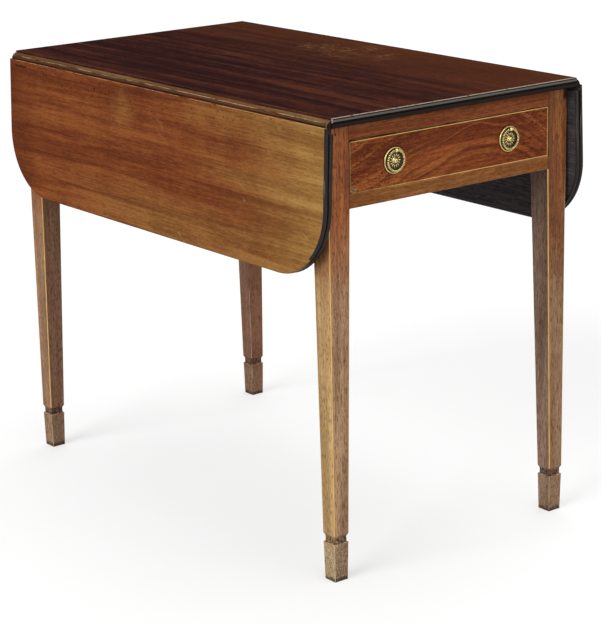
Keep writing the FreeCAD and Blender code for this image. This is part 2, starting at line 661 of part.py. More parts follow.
# Drawer: sides lapped into the front with dovetails, a thin floor in grooves, the back on the floor.
drawer_string = node(mirrored("drawer_string", sham_string, ACROSS_Y), "drawer_stringing")
side_span = ("drawer_inner", "drawer_half")
side_levels = ("drawer_side_low", "drawer_side_high")
side_shapes = [box("drawer_side_plank", side_span, ("drawer_front_back", "drawer_end_y"), side_levels)]
tail_pitch = f"(drawer_side_high - drawer_side_low) / {TAILS}"
tail_half = f"{tail_pitch} * {TAIL_SHARE} / 2"
for number in range(TAILS):
    tail_middle = f"drawer_side_low + ({number} + {TAIL_SHARE}) * {tail_pitch}"
    side_shapes.append(make("Part::Wedge", f"tail_{number}", {
        "Ymin": "drawer_front_back - tail_length", "Ymax": "drawer_front_back",
        "Xmin": side_span[0], "Xmax": side_span[1], "X2min": side_span[0], "X2max": side_span[1],
        "Zmin": f"{tail_middle} - {tail_half} - tail_flare",
        "Zmax": f"{tail_middle} + {tail_half} + tail_flare",
        "Z2min": f"{tail_middle} - {tail_half}", "Z2max": f"{tail_middle} + {tail_half}"}))
groove_span = ("-drawer_inner - groove_depth", "drawer_inner + groove_depth")
floor_high = "floor_low + drawer_bottom_thickness"
back_end = "drawer_end_y - drawer_back_inset"
drawer_floor = node(box("drawer_floor", groove_span, ("drawer_front_back - groove_depth", back_end),
                        ("floor_low", floor_high)), "drawer_bottom")
drawer_back = node(box("drawer_back_plank", groove_span, (f"{back_end} - drawer_back_thickness", back_end),
                       (floor_high, "drawer_side_high - drawer_side_drop")), "drawer_back")
drawer_side, drawer_side_left = pair(
    cut("drawer_side", fuse("drawer_side_body", side_shapes), [drawer_floor, drawer_back]), "drawer_side")
front_blank = box("drawer_front_plank", ("-drawer_half", "drawer_half"),
                  ("drawer_face_y", "drawer_front_back"), ("drawer_low", "drawer_high"))
front_cuts = [drawer_string, drawer_posts, drawer_floor, drawer_side, drawer_side_left]
node(cut("drawer_front", front_blank, front_cuts), "drawer_front")

doc.recompute()
for item in doc.Objects:
    if "Invalid" in item.State or "Error" in item.State:
        raise RuntimeError(f"{item.Name} failed: {item.State}")
for item in nodes:
    if item.Shape.isNull() or not item.Shape.isValid() or not item.Shape.Solids:
        raise RuntimeError(f"{item.Label} has no valid solid")

os.makedirs("parts", exist_ok=True)
for item in nodes:
    item.Shape.exportStep(f"parts/{item.Label}.step")
print(len(nodes), "nodes written")
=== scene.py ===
import math

import bmesh
import bpy
from mathutils import Matrix, Vector


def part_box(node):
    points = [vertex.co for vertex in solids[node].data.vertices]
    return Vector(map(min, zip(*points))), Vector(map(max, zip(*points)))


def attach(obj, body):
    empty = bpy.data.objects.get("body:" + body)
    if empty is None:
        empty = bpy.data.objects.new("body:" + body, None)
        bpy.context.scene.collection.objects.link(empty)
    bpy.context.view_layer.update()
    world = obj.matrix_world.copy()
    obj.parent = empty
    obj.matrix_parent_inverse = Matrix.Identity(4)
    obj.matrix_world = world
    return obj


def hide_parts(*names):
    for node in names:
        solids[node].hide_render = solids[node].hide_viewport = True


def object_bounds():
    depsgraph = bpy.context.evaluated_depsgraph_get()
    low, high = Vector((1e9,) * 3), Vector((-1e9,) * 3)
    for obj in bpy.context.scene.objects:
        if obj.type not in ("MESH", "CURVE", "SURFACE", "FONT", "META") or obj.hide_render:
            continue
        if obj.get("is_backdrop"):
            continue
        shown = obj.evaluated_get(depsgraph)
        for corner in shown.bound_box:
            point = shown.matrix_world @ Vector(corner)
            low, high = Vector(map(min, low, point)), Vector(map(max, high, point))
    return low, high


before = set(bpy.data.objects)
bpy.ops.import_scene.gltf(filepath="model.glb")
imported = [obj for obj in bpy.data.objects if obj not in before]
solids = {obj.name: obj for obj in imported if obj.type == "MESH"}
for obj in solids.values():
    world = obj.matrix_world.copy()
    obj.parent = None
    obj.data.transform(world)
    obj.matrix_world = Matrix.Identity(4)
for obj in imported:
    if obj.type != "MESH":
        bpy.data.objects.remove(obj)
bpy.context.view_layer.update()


# Legs: four square posts of solid mahogany, tapered on their two inner faces and cut in at the
# neck to leave a block foot. The rails are tenoned into them, and the arrises are rubbed soft.
class Shade:
    """One socket of a node tree. Sums written on it add Math nodes to the tree."""

    def __init__(self, tree, socket):
        self.tree = tree
        self.socket = socket

    def node(self, kind, settings, inputs, output=0):
        """Adds a node of a type: its settings first, then the values or links of its sockets."""
        made = self.tree.nodes.new(kind)
        for key, value in settings.items():
            if key != "stops":
                setattr(made, key, value)
                continue
            ramp = made.color_ramp.elements
            ramp[0].position, ramp[0].color = value[0]
            ramp[1].position, ramp[1].color = value[-1]
            for position, color in value[1:-1]:
                ramp.new(position).color = color
        for key, value in inputs.items():
            if isinstance(value, Shade):
                self.tree.links.new(value.socket, made.inputs[key])
            else:
                made.inputs[key].default_value = value
        return Shade(self.tree, made.outputs[output])

    def math(self, operation, first, second=0.0):
        return self.node("ShaderNodeMath", {"operation": operation}, {0: first, 1: second})

    def __add__(self, other):
        return self.math("ADD", self, other)

    def __sub__(self, other):
        return self.math("SUBTRACT", self, other)

    def __rsub__(self, other):
        return self.math("SUBTRACT", other, self)

    def __mul__(self, other):
        return self.math("MULTIPLY", self, other)

    def __truediv__(self, other):
        return self.math("DIVIDE", self, other)

    def __lt__(self, other):
        return self.math("LESS_THAN", self, other)

    def __abs__(self):
        return self.math("ABSOLUTE", self)

    __radd__ = __add__


def new_finish(name, **constants):
    """A material with constants on its shader, and the piece's own coordinates to paint by."""
    material = bpy.data.materials.new(name)
    material.use_nodes = True
    tree = material.node_tree
    shader = tree.nodes["Principled BSDF"]
    for socket, value in constants.items():
        shader.inputs[socket.replace("_", " ")].default_value = value
    place = Shade(tree, tree.nodes.new("ShaderNodeTexCoord").outputs["Object"])
    return material, shader, place


def painted(shader, **feeds):
    """Links what varies over the surface to the shader's sockets."""
    for socket, value in feeds.items():
        value.tree.links.new(value.socket, shader.inputs[socket.replace("_", " ")])


def noise(place, scale, detail=2.0, rough=0.5, warp=0.0):
    return place.node("ShaderNodeTexNoise", {}, {
        "Vector": place, "Scale": scale, "Detail": detail, "Roughness": rough, "Distortion": warp})


def spread(value, low, high, first=0.0, last=1.0):
    """The value drawn out smoothly between two limits."""
    return value.node("ShaderNodeMapRange", {"interpolation_type": "SMOOTHSTEP"}, {
        0: value, 1: low, 2: high, 3: first, 4: last})


def blend(share, first, second, way="MIX"):
    return share.node("ShaderNodeMix", {"data_type": "RGBA", "blend_type": way}, {
        0: share, 6: first, 7: second}, 2)


def part(place, axis):
    return place.node("ShaderNodeSeparateXYZ", {}, {0: place}, axis)


def marked(place, name):
    """How far a face was marked with an attribute of its mesh."""
    settings = {"attribute_type": "GEOMETRY", "attribute_name": name}
    return place.node("ShaderNodeAttribute", settings, {}, 2)


def stretched(place, along, length, shift=0.0):
    """Coordinates drawn out along the grain."""
    scale = [1.0, 1.0, 1.0]
    scale[along] = 1 / length
    return place.node("ShaderNodeMapping", {}, {
        "Vector": place, "Location": (shift, shift, shift), "Scale": scale})


def spots(place, scale, radius, share):
    """Small round marks, one to a cell, in a share of the cells."""
    cells = {"Vector": place, "Scale": scale}
    distance = place.node("ShaderNodeTexVoronoi", {}, cells)
    chance = place.node("ShaderNodeTexVoronoi", {}, cells, 1)
    lot = part(chance, 0)
    return spread(distance, radius * scale, radius * scale * 0.4) * (lot < share)


def toned(share, stops):
    """A colour picked along a row of tones."""
    return share.node("ShaderNodeValToRGB", {"stops": stops}, {0: share})


def bumped(height, strength, distance):
    """The surface's own direction, tilted by a height that is painted on it."""
    return height.node("ShaderNodeBump", {}, {
        "Strength": strength, "Distance": distance, "Height": height})


def mahogany(name, along, tones, gloss, specular, shift, open_grain, tint,
             wear=(0.42, 0.27, 0.13, 1)):
    """Old polished mahogany: long streaks, fine lines and flecks along the grain, open pores,
    specks of wax, rubbed arrises, undersides of unpolished wood darkened further by painted shade,
    and edges stained black and polished, with a painted grey reflection where they are marked for
    it."""
    material, shader, place = new_finish(
        name, Coat_Roughness=0.22, Specular_IOR_Level=specular)
    bands = noise(stretched(place, along, 22, shift), 40, 4, 0.52, 0.8)
    mottle = noise(stretched(place, along, 2.2, shift), 95, 3, 0.6)
    lines = noise(stretched(place, along, 50, shift), 430, 2, 0.6)
    flecks = noise(stretched(place, along, 6, shift), 400, 2, 0.6)
    ripple = noise(stretched(place, (along + 1) % 3, 3, shift), 24, 2)
    pores = spread(noise(stretched(place, along, 16, shift), 2300, 1), 0.56, 0.66)
    figure = bands * 0.44 + lines * 0.24 + flecks * 0.17 + ripple * 0.09 + mottle * 0.06
    tone = spread(figure, 0.40, 0.63)
    color = toned(tone, [(0.0, tones[0]), (0.5, tones[1]), (1.0, tones[2])])
    color = tint(place, color, tone)
    specks = spots(place, 34, 0.0010, 0.22) + spots(place, 80, 0.0006, 0.16)
    dashes = spread(noise(stretched(place, along, 6, shift + 3), 620, 2, 0.65), 0.52, 0.62)
    color = blend(dashes * open_grain, color, (0.42, 0.35, 0.30, 1), "MULTIPLY")
    color = blend(pores * 0.3, color, (0.02, 0.008, 0.005, 1))
    color = blend(specks * 0.7, color, (0.012, 0.006, 0.004, 1))
    # Faces marked as under turn dark grey: unpolished wood, darkened further by painted shade.
    under = marked(place, "under")
    raw_and_shaded = toned(lines * 0.5 + flecks * 0.5, [
        (0.35, (0.029, 0.0265, 0.0300, 1)), (0.70, (0.102, 0.097, 0.107, 1))])
    color = blend(under * 0.97, color, raw_and_shaded)
    edge = marked(place, "edge")
    stained = spread(edge, 0.2, 0.4)
    # Edges marked below full stain get a painted grey reflection on the black.
    painted_sheen = stained - edge
    black = blend(painted_sheen, (0.018, 0.0125, 0.0100, 1), (0.190, 0.172, 0.162, 1))
    color = blend(stained, color, black)
    handled = spread(noise(stretched(place, along, 4), 110, 3, 0.6), 0.40, 0.56)
    rubbed = marked(place, "arris") * handled
    color = blend(rubbed * 0.85, color, wear)
    scuffs = spread(noise(place, 26, 4, 0.65), 0.45, 0.75)
    roughness = gloss + scuffs * 0.14 + pores * 0.12 + rubbed * 0.15 + under * 0.3
    height = lines * 0.25 + flecks * 0.15 - pores * 0.4 - dashes * 0.3 - specks * 1.2
    coat = stained * 0.55 + painted_sheen.math("MINIMUM", painted_sheen, 0.0) * 2.2
    painted(shader, Base_Color=color, Roughness=roughness, Coat_Weight=coat,
            Normal=bumped(height, 0.2, 0.0005))
    return material


def evened(piece):
    """The piece with its modifiers settled into a plain mesh."""
    graph = bpy.context.evaluated_depsgraph_get()
    mesh = bpy.data.meshes.new_from_object(
        piece.evaluated_get(graph), preserve_all_data_layers=True, depsgraph=graph)
    piece.modifiers.clear()
    piece.data = mesh
    return piece


def fitted(piece, body, slot, *stood_for):
    """Gives a finished piece to the body it moves with, in place of its plain solids."""
    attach(piece, body)
    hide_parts(*stood_for)


WELD = 1e-6
FLAT_ANGLE = math.radians(0.3)
ARRIS_ANGLE = math.radians(35)
SMOOTH_ANGLE = math.radians(40)


def worked(solid, body, slot, finish, ease, eased, **marks):
    """A copy of a solid whose chosen arrises are rounded off, with worn and other faces marked."""
    shape = bmesh.new()
    shape.from_mesh(solids[solid].data)
    bmesh.ops.remove_doubles(shape, verts=shape.verts, dist=WELD)
    bmesh.ops.dissolve_limit(
        shape, angle_limit=FLAT_ANGLE, verts=shape.verts, edges=shape.edges)
    worn = shape.faces.layers.float.new("arris")
    layers = [(shape.faces.layers.float.new(name), test) for name, test in marks.items()]
    corners = [
        side for side in shape.edges
        if side.is_convex and side.calc_face_angle(0) > ARRIS_ANGLE
        and eased((side.verts[0].co + side.verts[1].co) / 2, side.calc_length())]
    rounds = bmesh.ops.bevel(
        shape, geom=corners, offset=ease, segments=3, profile=0.5, affect="EDGES",
        clamp_overlap=False)
    for face in rounds["faces"]:
        face[worn] = 1.0
    for layer, test in layers:
        for face in shape.faces:
            face[layer] = float(test(face.calc_center_median(), face.normal))
    mesh = bpy.data.meshes.new(solid + "_worked")
    shape.to_mesh(mesh)
    shape.free()
    mesh.shade_smooth()
    mesh.set_sharp_from_angle(angle=SMOOTH_ANGLE)
    mesh.materials.append(finish)
    piece = bpy.data.objects.new(solid + "_worked", mesh)
    bpy.context.scene.collection.objects.link(piece)
    even = piece.modifiers.new("even", "WEIGHTED_NORMAL")
    even.keep_sharp = True
    fitted(evened(piece), body, slot, solid)


FRONT_REACH = 0.417
SIDE_REACH = 0.237
RAIL_BOTTOM = 0.572
RAIL_END = 0.198
NECK_BOTTOM = 0.061
NECK_TOP = 0.073
NAIL_HOLE = (-0.2231, 0.6840)
CORNERS = ("back_right", "back_left", "front_right", "front_left")


def aged_leg(place, color, tone):
    """Red under the rails and faded below, most of all on the leg at the drawer's left. The inner
    faces are greyed, and darkened near the top by painted shade. Painted shade also darkens the
    neck and the faces that the hanging leaf hides, the foot darkens at its bottom edge, a dark
    joint shows at the rail's shoulder, and one nail hole is filled with black wax."""
    across, along, height = part(place, 0), part(place, 1), part(place, 2)
    left, front = spread(across, 0.05, -0.05), spread(along, 0.10, -0.05)
    sunlit, front_right, back_left = left * front, (1 - left) * front, left * (1 - front)
    faded_share = spread(height + noise(place, 7, 2) * 0.12, 0.63, 0.46) * (0.14 + sunlit * 0.8)
    side = marked(place, "side")
    pale = toned(tone, [(0.0, (0.30, 0.17, 0.095, 1)), (1.0, (0.58, 0.37, 0.21, 1))])
    golden = toned(tone, [(0.0, (0.42, 0.26, 0.105, 1)), (1.0, (0.70, 0.47, 0.215, 1))])
    color = blend(faded_share, color, blend(side, pale, golden))
    brown = toned(tone, [(0.0, (0.150, 0.052, 0.018, 1)), (1.0, (0.36, 0.140, 0.047, 1))])
    color = blend(front_right * 0.75 + back_left * 0.7, color, brown)
    greyed = toned(tone, [(0.0, (0.20, 0.110, 0.058, 1)), (1.0, (0.47, 0.278, 0.148, 1))])
    paling = spread(height + noise(place, 9, 2) * 0.1, 0.51, 0.40)
    color = blend(paling * back_left * 0.8, color, greyed)
    color = blend(paling * front_right * 0.82, color, pale)
    dusty = toned(tone, [(0.0, (0.155, 0.094, 0.066, 1)), (1.0, (0.37, 0.238, 0.172, 1))])
    dusty = blend((1 - front) * 0.65, dusty, (0.215, 0.088, 0.044, 1))
    inner = marked(place, "inner")
    color = blend(inner * 0.8, color, dusty)
    # Painted shade: the inner faces darken towards the top, under the rails.
    color = blend(inner * spread(height, 0.42, 0.60) * 0.65, color, (0.048, 0.038, 0.034, 1))
    grain = noise(place, 300, 4, 0.75)
    worn = spread(height + noise(place, 60, 2) * 0.02, 0.078, 0.060)
    foot = toned(grain, [(0.36, (0.11, 0.066, 0.038, 1)), (0.62, (0.48, 0.33, 0.20, 1))])
    bare = toned(grain, [(0.36, (0.20, 0.140, 0.070, 1)), (0.62, (0.68, 0.52, 0.30, 1))])
    color = blend(worn * (0.4 + sunlit * 0.4), color, blend(side * sunlit, foot, bare))
    # Painted shade in the recess of the neck, broken by the grain.
    neck = spread(height, NECK_TOP + 0.0008, NECK_TOP - 0.0005)
    neck = neck * spread(height, NECK_BOTTOM - 0.0010, NECK_BOTTOM + 0.0005)
    # The foot darkens towards its bottom edge.
    ground = spread(height + (grain - 0.5) * 0.018, 0.010, 0.003)
    # Painted shade on the faces that the hanging leaf hides: the front face's corner by the cove
    # and the outer face near the top.
    from_side = SIDE_REACH - abs(across)
    end_face = spread(from_side, 0.0082, 0.0064) * spread(height, 0.674, 0.681)
    side_face = spread(from_side, 0.0006, 0.0002) * spread(height, 0.655, 0.672)
    behind = end_face.math("MAXIMUM", end_face, side_face)
    seam = spread(abs(across), RAIL_END + 0.0014, RAIL_END + 0.0006)
    seam = seam * spread(height, RAIL_BOTTOM - 0.001, RAIL_BOTTOM)
    # The darkenings summed: painted shade in the neck and on the hidden faces, the foot's bottom
    # edge, and the dark joint at the rail's shoulder.
    dirt_and_shade = neck * spread(grain, 0.40, 0.60, 0.95, 0.15) + ground * 0.8 + behind * 0.95 + seam * 0.75
    color = blend(dirt_and_shade.math("MINIMUM", dirt_and_shade, 0.95), color, (0.022, 0.013, 0.009, 1))
    aside, above = across - NAIL_HOLE[0], height - NAIL_HOLE[1]
    hole = spread(aside * aside + above * above * 0.4, 2.2e-6, 1.0e-6)
    hole = hole * spread(along, 0.007 - FRONT_REACH, 0.002 - FRONT_REACH)
    return blend(hole, color, (0.006, 0.004, 0.003, 1))


leg_wood = mahogany(
    "leg_mahogany", along=2, gloss=0.40, specular=0.12, shift=0.7, open_grain=0.8, tint=aged_leg,
    tones=[(0.24, 0.070, 0.024, 1), (0.385, 0.118, 0.034, 1), (0.53, 0.195, 0.062, 1)],
    wear=(0.52, 0.40, 0.27, 1))


def leg_arris(middle, length):
    """The arrises below the rails, longer than 12 mm, that have no string let into them."""
    if middle.z > RAIL_BOTTOM:
        return False
    if length > 0.3:
        return abs(middle.x) < SIDE_REACH - 0.027 and abs(middle.y) < FRONT_REACH - 0.027
    return length > 0.012


def leg_inside(middle, facing):
    """The two tapered faces, which were never polished."""
    return facing.x * middle.x < -0.1 or facing.y * middle.y < -0.2


for corner in CORNERS:
    worked("leg_" + corner, "frame", "mahogany_frame", leg_wood, 0.0008, leg_arris,
           inner=leg_inside, side=lambda middle, facing: facing.x * middle.x > 0.1)


# Leg stringing: fine lines of pale boxwood, glued into rebates along three arrises of each leg
# and scraped flush. They run from the rails down to the neck.
def boxwood_finish(name, along, tones, shade_and_polish=None):
    """Pale even wood, browned by polish on the flat and rubbed bright on the arris."""
    material, shader, place = new_finish(name, Specular_IOR_Level=0.15)
    lines = noise(stretched(place, along, 30), 700, 2)
    soil = spread(noise(place, 45, 3, 0.6), 0.40, 0.66)
    color = toned(spread(lines, 0.35, 0.65), [(0.0, tones[0]), (1.0, tones[1])])
    color = blend(soil * 0.3, color, (0.28, 0.13, 0.045, 1))
    color = blend(marked(place, "arris") * (1 - soil * 0.35), color, tones[2])
    # Where a finish is given one, painted shade and polish darken the string.
    if shade_and_polish:
        color = blend(shade_and_polish(place), color, (0.020, 0.010, 0.006, 1))
    painted(shader, Base_Color=color, Roughness=0.36 + soil * 0.15,
            Normal=bumped(lines, 0.15, 0.0003))
    return material


leg_string = boxwood_finish(
    "leg_boxwood", along=2,
    tones=[(0.34, 0.175, 0.055, 1), (0.46, 0.255, 0.085, 1), (0.78, 0.510, 0.170, 1)])
NEAR = 1e-4
STRING_INSET = 0.0325


def leg_string_arris(middle, length):
    """The long edges of a string that lie on the leg's arrises."""
    if length < 0.1:
        return False
    across, along = abs(middle.x), abs(middle.y)
    on_side, on_end = across > SIDE_REACH - NEAR, along > FRONT_REACH - NEAR
    if on_side and on_end:
        return True
    inner_side, inner_end = across < SIDE_REACH - STRING_INSET, along < FRONT_REACH - STRING_INSET
    return on_end and inner_side or on_side and inner_end


for corner in CORNERS:
    worked("leg_stringing_" + corner, "frame", "boxwood", leg_string, 0.0009, leg_string_arris)


# Rails: two narrow mahogany rails round the drawer and one deep rail at the back, all tenoned
# into the legs. Their shoulders leave a fine dark line against each leg.
OPENING_TOP = 0.6715


def sunny_rail(place, color, tone):
    """The rail below the drawer has faded to gold, and the one above it carries a painted shadow
    along the gap, most of all towards the left."""
    across, height = part(place, 0), part(place, 2)
    gold = toned(tone, [(0.0, (0.24, 0.098, 0.028, 1)), (1.0, (0.54, 0.262, 0.082, 1))])
    color = blend(spread(height, 0.600, 0.590) * 0.6, color, gold)
    # A painted shadow along the lower edge of the upper rail, over the drawer opening.
    reach = height - spread(across, 0.19, -0.15, -0.0005, 0.0009)
    gap = spread(reach, OPENING_TOP + 0.0008, OPENING_TOP + 0.0002) * spread(height, 0.62, 0.64)
    return blend(gap * 0.92, color, (0.012, 0.006, 0.004, 1))


rail_wood = mahogany(
    "rail_mahogany", along=0, gloss=0.38, specular=0.02, shift=2.3, open_grain=0.5, tint=sunny_rail,
    tones=[(0.20, 0.056, 0.021, 1), (0.345, 0.105, 0.037, 1), (0.50, 0.185, 0.064, 1)])
UNDERSIDE = 0.697


def rail_arris(middle, length):
    return abs(middle.x) < RAIL_END - 0.005 and length > 0.012


def back_rail_arris(middle, length):
    outside = min(abs(middle.z - RAIL_BOTTOM), abs(middle.z - UNDERSIDE)) < NEAR
    return outside and abs(middle.x) < RAIL_END + NEAR


for rail in ("front_upper_rail", "front_lower_rail"):
    worked(rail, "frame", "mahogany_frame", rail_wood, 0.0006, rail_arris)


CHIP = (-0.1905, 0.5975)
HANDLE_SPREAD = 0.114
HANDLE_HEIGHT = 0.6316


def flame(place, color, tone):
    """Feather figure of a veneer cut near a fork of the tree: fine lines that curl to the right,
    with darker flecks towards both ends, a dark ring round each handle that is old polish and
    painted shadow of the plate, and a chip at one corner."""
    across, along, height = part(place, 0), part(place, 1), part(place, 2)
    warp = noise(place, 14, 3, 0.55) - 0.5
    aside = across - 0.02
    bend = spread(across, -0.06, 0.10, 0.4, 3.2)
    arc = height + aside * aside * bend - aside * 0.25 + warp * 0.020
    path = arc.node("ShaderNodeCombineXYZ", {}, {0: across * 5.0, 2: arc * 210})
    feather = noise(path, 1.0, 3, 0.6)
    plume = noise(path, 0.32, 2)
    color = blend(spread(plume, 0.50, 0.64) * 0.65, color, (0.46, 0.155, 0.044, 1))
    color = blend(spread(plume, 0.48, 0.35) * 0.65, color, (0.13, 0.029, 0.012, 1))
    color = blend(spread(feather, 0.53, 0.64) * 0.65, color, (0.105, 0.023, 0.010, 1))
    curl = noise(stretched(place, 0, 2.5, 8), 300, 3, 0.65, 1.2)
    ends = spread(abs(across), 0.04, 0.17)
    color = blend(spread(curl, 0.55, 0.64) * (0.35 + ends * 0.55), color, (0.055, 0.014, 0.008, 1))
    ticks = spread(noise(stretched(place, 0, 3.5, 6), 650, 2, 0.6, 0.6), 0.53, 0.61)
    color = blend(ticks * spread(across, -0.04, -0.12, 0.15, 0.7), color, (0.060, 0.015, 0.008, 1))
    # A dark ring just outside each plate: old polish, with painted shadow of the plate.
    past_handle, over_handle = abs(across) - HANDLE_SPREAD, height - HANDLE_HEIGHT
    from_handle = past_handle * past_handle + over_handle * over_handle
    plate_shadow_and_polish = spread(from_handle, 0.0220 ** 2, 0.0202 ** 2)
    color = blend(plate_shadow_and_polish * 0.7, color, (0.020, 0.008, 0.005, 1))
    beside, below = across - CHIP[0], height - CHIP[1]
    chip = spread(below * below * 4 + beside * beside + warp * 2e-5, 4.6e-5, 2.0e-5)
    chip = chip * spread(along, 0.007 - FRONT_REACH, 0.002 - FRONT_REACH)
    return blend(chip * 0.8, color, toned(noise(place, 600, 2), [
        (0.40, (0.03, 0.015, 0.008, 1)), (0.60, (0.50, 0.36, 0.22, 1))]))


veneer = mahogany(
    "drawer_veneer", along=0, gloss=0.32, specular=0.02, shift=5.1, open_grain=0.45, tint=flame,
    tones=[(0.17, 0.040, 0.015, 1), (0.30, 0.077, 0.024, 1), (0.43, 0.130, 0.036, 1)])
worked("back_rail", "frame", "mahogany_front", veneer, 0.0006, back_rail_arris)


# Fly rails: an oak rail behind each leaf, its end blocks and middle glued to the side rail, with
# a bracket between that turns on a wooden knuckle round an iron pin to hold the leaf up.
def oak_finish(name, along, shift):
    material, shader, place = new_finish(name, Specular_IOR_Level=0.3)
    bands = noise(stretched(place, along, 10, shift), 60, 3, 0.6, 0.5)
    pores = spread(noise(stretched(place, along, 16, shift), 1100, 1), 0.55, 0.68)
    flecks = spread(noise(stretched(place, along, 3, shift), 240, 2), 0.60, 0.72)
    color = blend(spread(bands, 0.3, 0.7), (0.150, 0.080, 0.036, 1), (0.29, 0.175, 0.085, 1))
    color = blend(flecks * 0.3, color, (0.38, 0.25, 0.13, 1))
    color = blend(pores * 0.55, color, (0.05, 0.026, 0.012, 1))
    soil = spread(noise(place, 12, 3, 0.6), 0.42, 0.7)
    color = blend(soil * 0.5, color, (0.075, 0.042, 0.022, 1))
    height = bands * 0.3 - pores * 0.8
    painted(shader, Base_Color=color, Roughness=0.58 + pores * 0.2,
            Normal=bumped(height, 0.35, 0.0006))
    return material


def dressed(finish, *names):
    """Puts a finish on solids that keep their own shape."""
    for name in names:
        solids[name].data.materials[0] = finish


oak_along_side = oak_finish("oak_along_side", 1, 1.3)
dressed(oak_along_side, *(kind + side for kind in (
    "side_rail_", "fly_centre_", "drawer_runner_", "drawer_kicker_") for side in ("right", "left")))
dressed(oak_along_side, *(
    kind + corner for kind in ("fly_block_", "fly_bracket_") for corner in CORNERS))


def iron_finish(name):
    material, shader, place = new_finish(name, Metallic=0.85)
    rust = spread(noise(place, 160, 4, 0.65), 0.46, 0.66)
    color = blend(rust, (0.10, 0.092, 0.085, 1), (0.085, 0.036, 0.016, 1))
    pits = noise(place, 900, 2)
    painted(shader, Base_Color=color, Roughness=0.42 + rust * 0.3,
            Normal=bumped(pits, 0.3, 0.0003))
    return material


iron = iron_finish("hinge_iron")
dressed(iron, "fly_pins")


# Inside the frame: oak stops behind the drawer front and glue blocks in the angle between the
# back rail and the top, all left rough from the saw.
oak_across = oak_finish("oak_across", 0, 4.2)
dressed(oak_across, "drawer_stops", "glue_blocks")


# Drawer: an oak box dovetailed at the front, its floor slid into grooves, with a front veneered
# in figured mahogany and edged with a boxwood line. The tops of the sides are rounded over.
dressed(veneer, "drawer_front")
dressed(oak_across, "drawer_bottom")
DRAWER_EDGE = (0.1973, 0.5931, 0.6701)


def front_string_arris(middle, length):
    if abs(middle.y) < FRONT_REACH - NEAR:
        return False
    side, low, high = DRAWER_EDGE
    off_level = min(abs(middle.z - low), abs(middle.z - high))
    return abs(middle.x) > side - NEAR or off_level < NEAR


def gap_shade_and_polish(place):
    """Painted shade on the faces of the string that lie inside the gap round the drawer, a darker
    strip along the string's left end, and polish left on the string at the lower left."""
    side, low, high = DRAWER_EDGE
    across, height = part(place, 0), part(place, 2)
    # Painted shade on the string's faces inside the gap.
    dirt_and_shade = spread(abs(across), side - 0.0002, side - 0.0001)
    dirt_and_shade = dirt_and_shade + spread(height, low + 0.0002, low + 0.0001)
    dirt_and_shade = dirt_and_shade + spread(height, high - 0.0002, high - 0.0001)
    dirt_and_shade = dirt_and_shade + spread(across, 0.004 - side, 0.003 - side) * 0.62
    clotted = spread(noise(place, 40, 2), 0.30, 0.55) * spread(across, -0.02, -0.16)
    dirt_and_shade = dirt_and_shade + spread(height, low + 0.004, low + 0.003) * clotted * 0.55
    return dirt_and_shade.math("MINIMUM", dirt_and_shade, 0.9)


front_string = boxwood_finish(
    "front_boxwood", along=0, shade_and_polish=gap_shade_and_polish,
    tones=[(0.72, 0.36, 0.085, 1), (0.90, 0.50, 0.140, 1), (0.94, 0.62, 0.210, 1)])
worked("drawer_stringing", "drawer", "boxwood", front_string, 0.0004, front_string_arris)
worked("back_rail_stringing", "frame", "boxwood", front_string, 0.0004, front_string_arris)
for side in ("right", "left"):
    low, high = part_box("drawer_side_" + side)
    worked("drawer_side_" + side, "drawer", "oak", oak_along_side, 0.0026,
           lambda middle, length: length > 0.5 and middle.z > high.z - NEAR)
low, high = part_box("drawer_back")
worked("drawer_back", "drawer", "oak", oak_across, 0.0015,
       lambda middle, length: length > 0.3 and middle.z > high.z - NEAR)


# Ring handles: a round plate stamped from thin brass with a rosette of petals, a turned post
# bolted through the front, and a ring cast with beads that hangs from the eye of the post.
RING_RADIUS = 0.0156
RING_WIRE = 0.0013
RING_STAND = 0.0050


def brass_finish(name):
    """Worn brass with random tarnish, near-black in the dish and centre of the plate and under the
    ring: tarnish in the hollows, with painted shade.
    """
    material, shader, place = new_finish(name, Metallic=1.0)
    stand = abs(part(place, 1)) - FRONT_REACH
    across, height = abs(part(place, 0)) - HANDLE_SPREAD, part(place, 2) - HANDLE_HEIGHT
    out = stand.math("SQRT", across * across + height * height)
    # Near-black over the dish of the plate: tarnish, with painted shade.
    well = spread(out, 0.0190, 0.0182, 0.12, 1.0) * spread(out, 0.0042, 0.0050)
    well = well * spread(stand, 0.0037, 0.0026)
    round_wire = out - RING_RADIUS
    off_wire = stand - RING_STAND
    depth = stand.math("SQRT", round_wire * round_wire + off_wire * off_wire)
    # Painted shade under the ring, where the wire comes close to the plate.
    crevice = spread(depth, 0.00155, 0.00130) * spread(stand, 0.0030, 0.0036)
    dimple = spread(out, 0.0017, 0.0009)
    hollow = stand.math("MAXIMUM", well, crevice)
    hollow = stand.math("MAXIMUM", hollow, dimple)
    tarnish = spread(noise(place, 260, 3, 0.6), 0.38, 0.68)
    color = blend(tarnish * 0.6, (0.86, 0.69, 0.30, 1), (0.40, 0.28, 0.090, 1))
    color = blend(hollow * (0.90 + tarnish * 0.08), color, (0.022, 0.015, 0.007, 1))
    pits = noise(place, 1500, 2)
    painted(shader, Base_Color=color, Roughness=0.22 + tarnish * 0.16 + hollow * 0.3,
            Normal=bumped(pits, 0.12, 0.0002))
    return material


brass = brass_finish("handle_brass")


